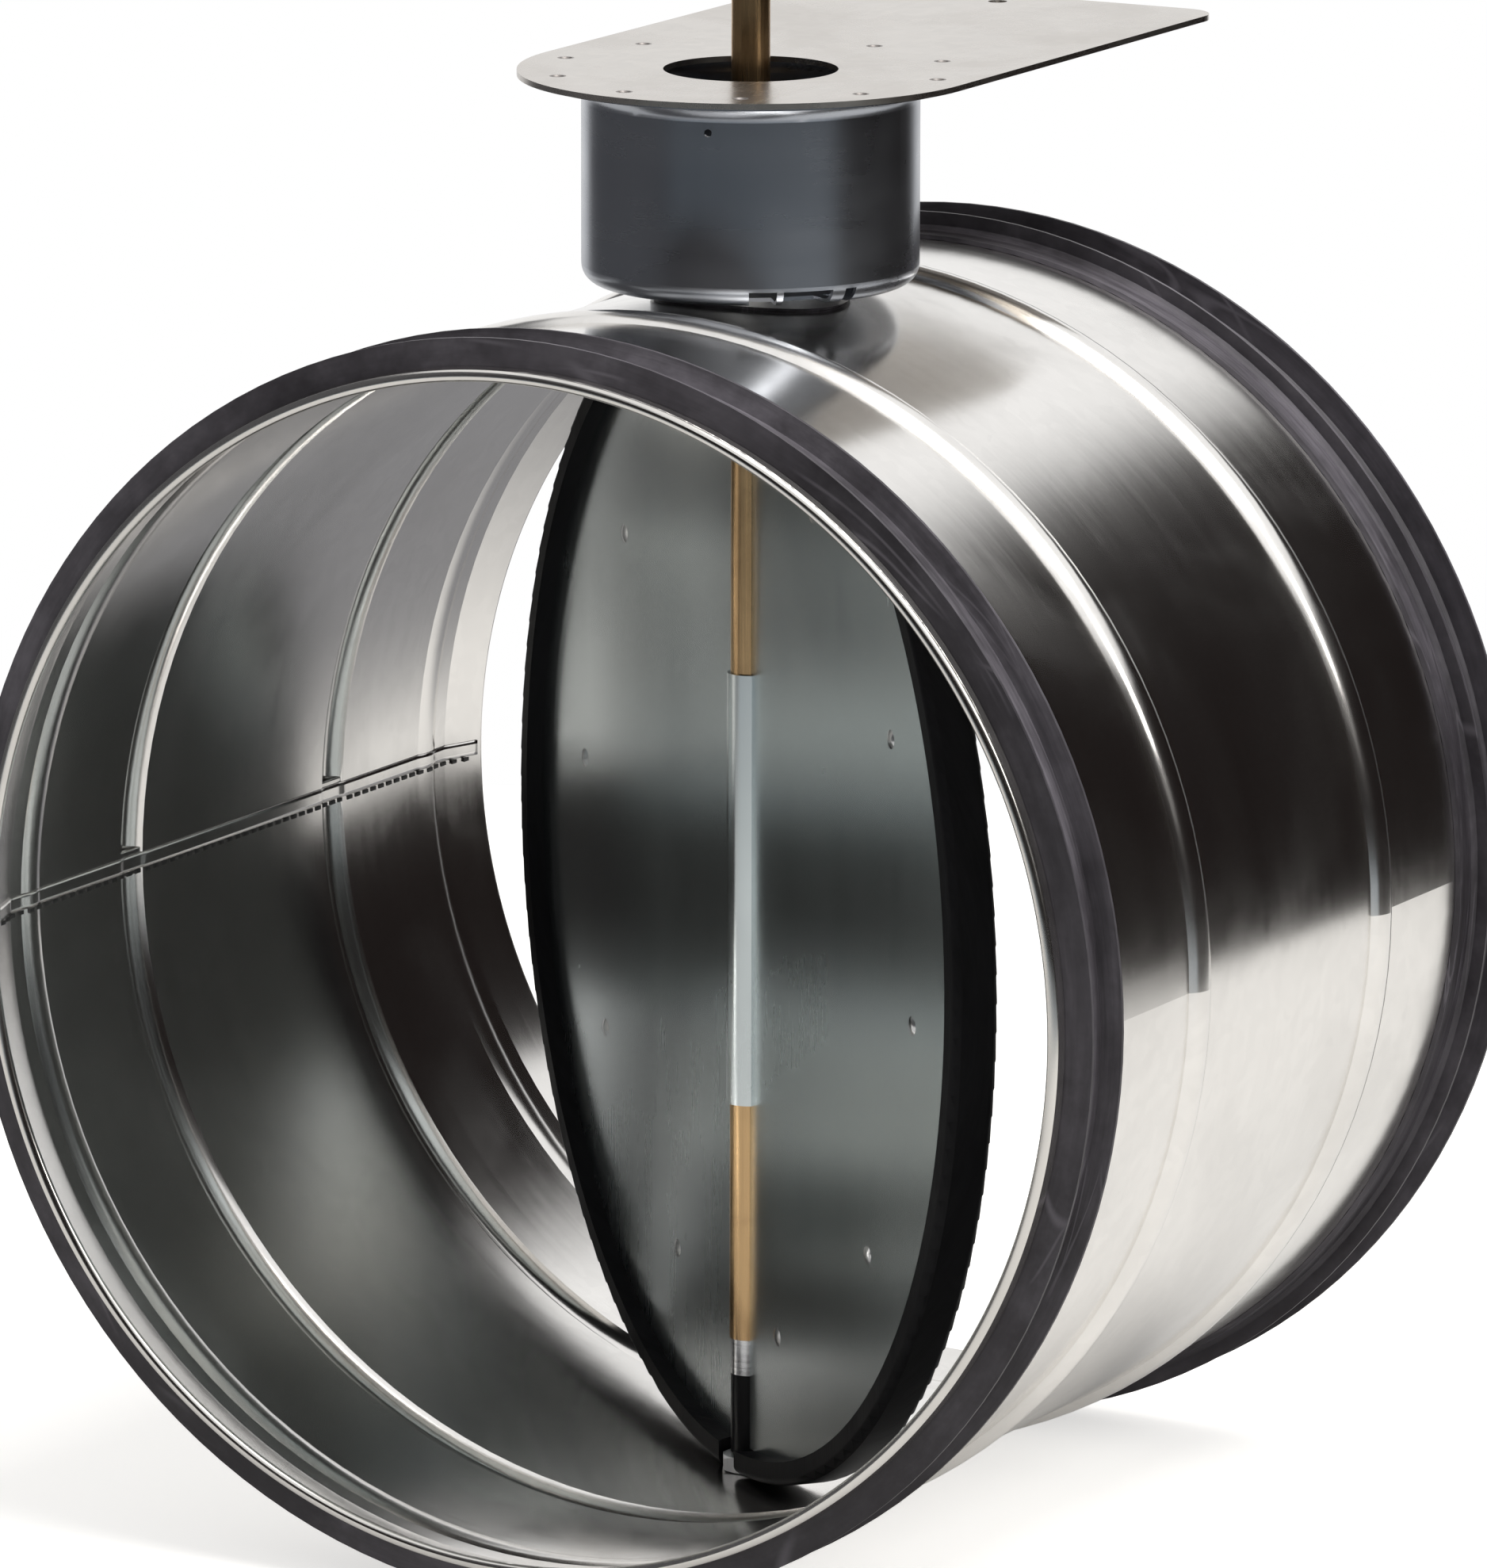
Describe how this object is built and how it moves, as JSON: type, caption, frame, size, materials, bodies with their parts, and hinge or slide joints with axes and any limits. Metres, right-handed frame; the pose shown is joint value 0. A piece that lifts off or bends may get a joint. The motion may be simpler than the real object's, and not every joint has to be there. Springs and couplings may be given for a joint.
{
  "type": "volume control damper",
  "caption": "Round duct damper with beaded spigot casing, lip gaskets, a sealed disc blade on a turning shaft, and a raised motor shelf for insulated ductwork.",
  "frame": {"origin": "where the shaft axis crosses the duct axis, at the middle of the casing", "axes": "+Y along the duct axis, with the motor shelf reaching out towards +Y; +Z along the shaft axis towards its free driving end; +X to the right of the air path"},
  "size_m": [0.3248, 0.277, 0.4369],
  "materials": {
    "galvanised_sheet": "bright galvanised sheet",
    "galvanised_collar": "drawn galvanised sheet",
    "epdm_rubber": "matt black",
    "black_seal": "matt black",
    "yellow_passivated_steel": "yellow passivated steel rod",
    "zinc_plated_steel": "bright zinc plate",
    "die_cast_zinc": "die cast, tumbled",
    "black_nylon": "moulded"
  },
  "bodies": {
    "casing": {"duct_casing": "galvanised_sheet", "inlet_gasket": "epdm_rubber", "outlet_gasket": "epdm_rubber", "pivot_pin": "zinc_plated_steel", "pivot_nut": "zinc_plated_steel", "pivot_washer": "epdm_rubber", "saddle_gasket": "epdm_rubber", "bearing_saddle": "die_cast_zinc", "upper_bush": "black_nylon", "shaft_seal_ring": "epdm_rubber", "seal_retainer": "zinc_plated_steel", "saddle_rivets": "zinc_plated_steel", "collar": "galvanised_collar", "shelf_plate": "galvanised_sheet", "shelf_clinches": "galvanised_sheet"},
    "blade": {"blade_front_disc": "galvanised_sheet", "blade_rear_disc": "galvanised_sheet", "blade_seal": "black_seal", "blade_clinches": "galvanised_sheet", "shaft": "yellow_passivated_steel", "shaft_screws": "zinc_plated_steel", "shaft_ferrule": "zinc_plated_steel", "lower_bush": "black_nylon", "thrust_washer": "zinc_plated_steel", "shaft_clip": "zinc_plated_steel"}
  },
  "joints": [
    {"name": "blade_turn", "type": "hinge", "parent": "casing", "child": "blade", "pos_m": [0, 0, 0], "axis": [0, 0, 1], "range_deg": [-49.9, 40.1]}
  ]
}
